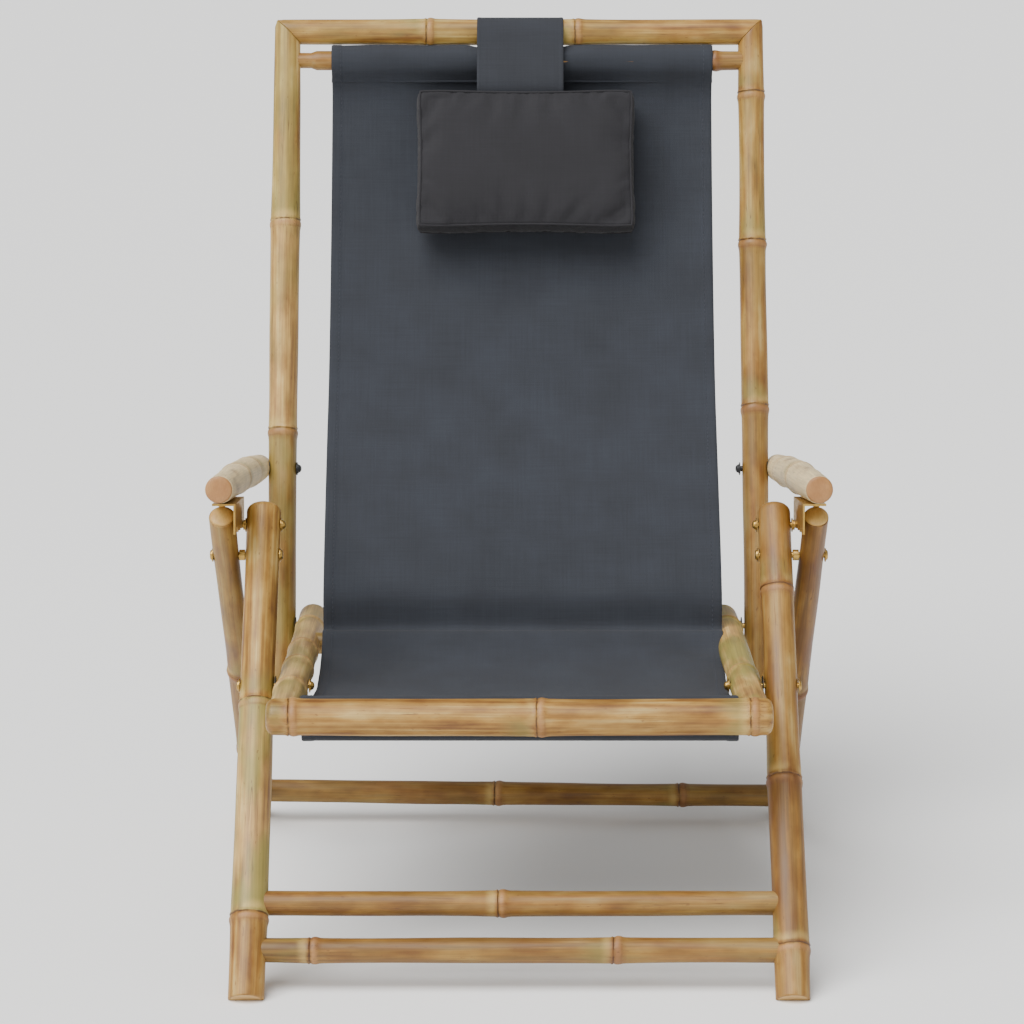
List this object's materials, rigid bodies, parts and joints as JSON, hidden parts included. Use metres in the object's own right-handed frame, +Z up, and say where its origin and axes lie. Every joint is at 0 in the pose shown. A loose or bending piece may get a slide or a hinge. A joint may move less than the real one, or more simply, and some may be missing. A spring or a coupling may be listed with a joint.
{
  "type": "bamboo folding recliner",
  "caption": "Low folding recliner of bamboo canes with a hung canvas sling, head pillow, crossed legs and armrests that notch onto bolts to set the lean.",
  "frame": {"origin": "on the floor, at the centre of the chair's footprint box", "axes": "+Z up, the sitter faces -Y, +X to the right of a viewer who faces the chair"},
  "size_m": [0.62, 0.7536, 0.8793],
  "materials": {
    "bamboo": "satin bamboo cane with darker rings and grey-green mottling",
    "pale_bamboo": "sanded and varnished end plug",
    "canvas": "plain woven dark grey canvas",
    "pillow_cloth": "finely woven dark grey cloth with stitched seams",
    "brass": "yellow passivated plate, slightly dulled",
    "steel": "zinc plated washer",
    "black_cap": "black bolt cap"
  },
  "bodies": {
    "front_legs": {"front_leg_left": "bamboo", "front_leg_right": "bamboo", "front_crossbar_upper": "bamboo", "front_crossbar_lower": "bamboo", "lock_bolt_left": "brass", "lock_bolt_right": "brass", "seat_pivot_bolt_left": "brass", "seat_pivot_bolt_right": "brass", "leg_pivot_bolt_left": "brass", "leg_pivot_bolt_right": "brass", "seat_washer_left": "steel", "seat_washer_right": "steel", "leg_spacer_left": "steel", "leg_spacer_right": "steel"},
    "rear_legs": {"rear_leg_left": "bamboo", "rear_leg_right": "bamboo", "rear_leg_plug_left": "pale_bamboo", "rear_leg_plug_right": "pale_bamboo", "rear_crossbar": "bamboo"},
    "seat_frame": {"seat_front_rail": "bamboo", "seat_rail_left": "bamboo", "seat_rail_right": "bamboo", "seat_crossbar": "bamboo", "seat_canvas_rod": "bamboo", "sling_seat": "canvas"},
    "back_frame": {"back_upright_left": "bamboo", "back_upright_right": "bamboo", "back_top_rail": "bamboo", "back_canvas_rod": "bamboo", "back_pivot_bolt_left": "brass", "back_pivot_bolt_right": "brass", "back_washer_left": "steel", "back_washer_right": "steel", "armrest_bolt_left": "black_cap", "armrest_bolt_right": "black_cap", "armrest_washer_left": "steel", "armrest_washer_right": "steel", "sling_back": "canvas", "head_pillow": "pillow_cloth", "pillow_strap": "pillow_cloth"},
    "left_armrest": {"armrest_left": "bamboo", "armrest_plug_left": "pale_bamboo", "ratchet_plate_left": "brass", "plate_screw_rear_left": "brass", "plate_screw_front_left": "brass"},
    "right_armrest": {"armrest_right": "bamboo", "armrest_plug_right": "pale_bamboo", "ratchet_plate_right": "brass", "plate_screw_rear_right": "brass", "plate_screw_front_right": "brass"}
  },
  "joints": [
    {"name": "seat_fold", "type": "hinge", "parent": "front_legs", "child": "seat_frame", "pos_m": [0, -0.16598, 0.2543], "axis": [1, 0, 0], "range_deg": [0, 45]},
    {"name": "rear_leg_fold", "type": "hinge", "parent": "front_legs", "child": "rear_legs", "pos_m": [0, -0.07809, 0.367], "axis": [1, 0, 0], "range_deg": [-74.8, 0]},
    {"name": "recline", "type": "hinge", "parent": "seat_frame", "child": "back_frame", "pos_m": [0, 0.14077, 0.24198], "axis": [1, 0, 0], "range_deg": [-70, 0]},
    {"name": "left_armrest_swing", "type": "hinge", "parent": "back_frame", "child": "left_armrest", "pos_m": [-0.28375, 0.19785, 0.40317], "axis": [1, 0, 0], "range_deg": [0, 50]},
    {"name": "right_armrest_swing", "type": "hinge", "parent": "back_frame", "child": "right_armrest", "pos_m": [0.28375, 0.19785, 0.40317], "axis": [1, 0, 0], "range_deg": [0, 50]}
  ],
  "couplings": [
    {"joint": "rear_leg_fold", "follows": "seat_fold", "ratio": -1.66},
    {"joint": "left_armrest_swing", "follows": "recline", "ratio": -0.703},
    {"joint": "right_armrest_swing", "follows": "recline", "ratio": -0.703}
  ]
}
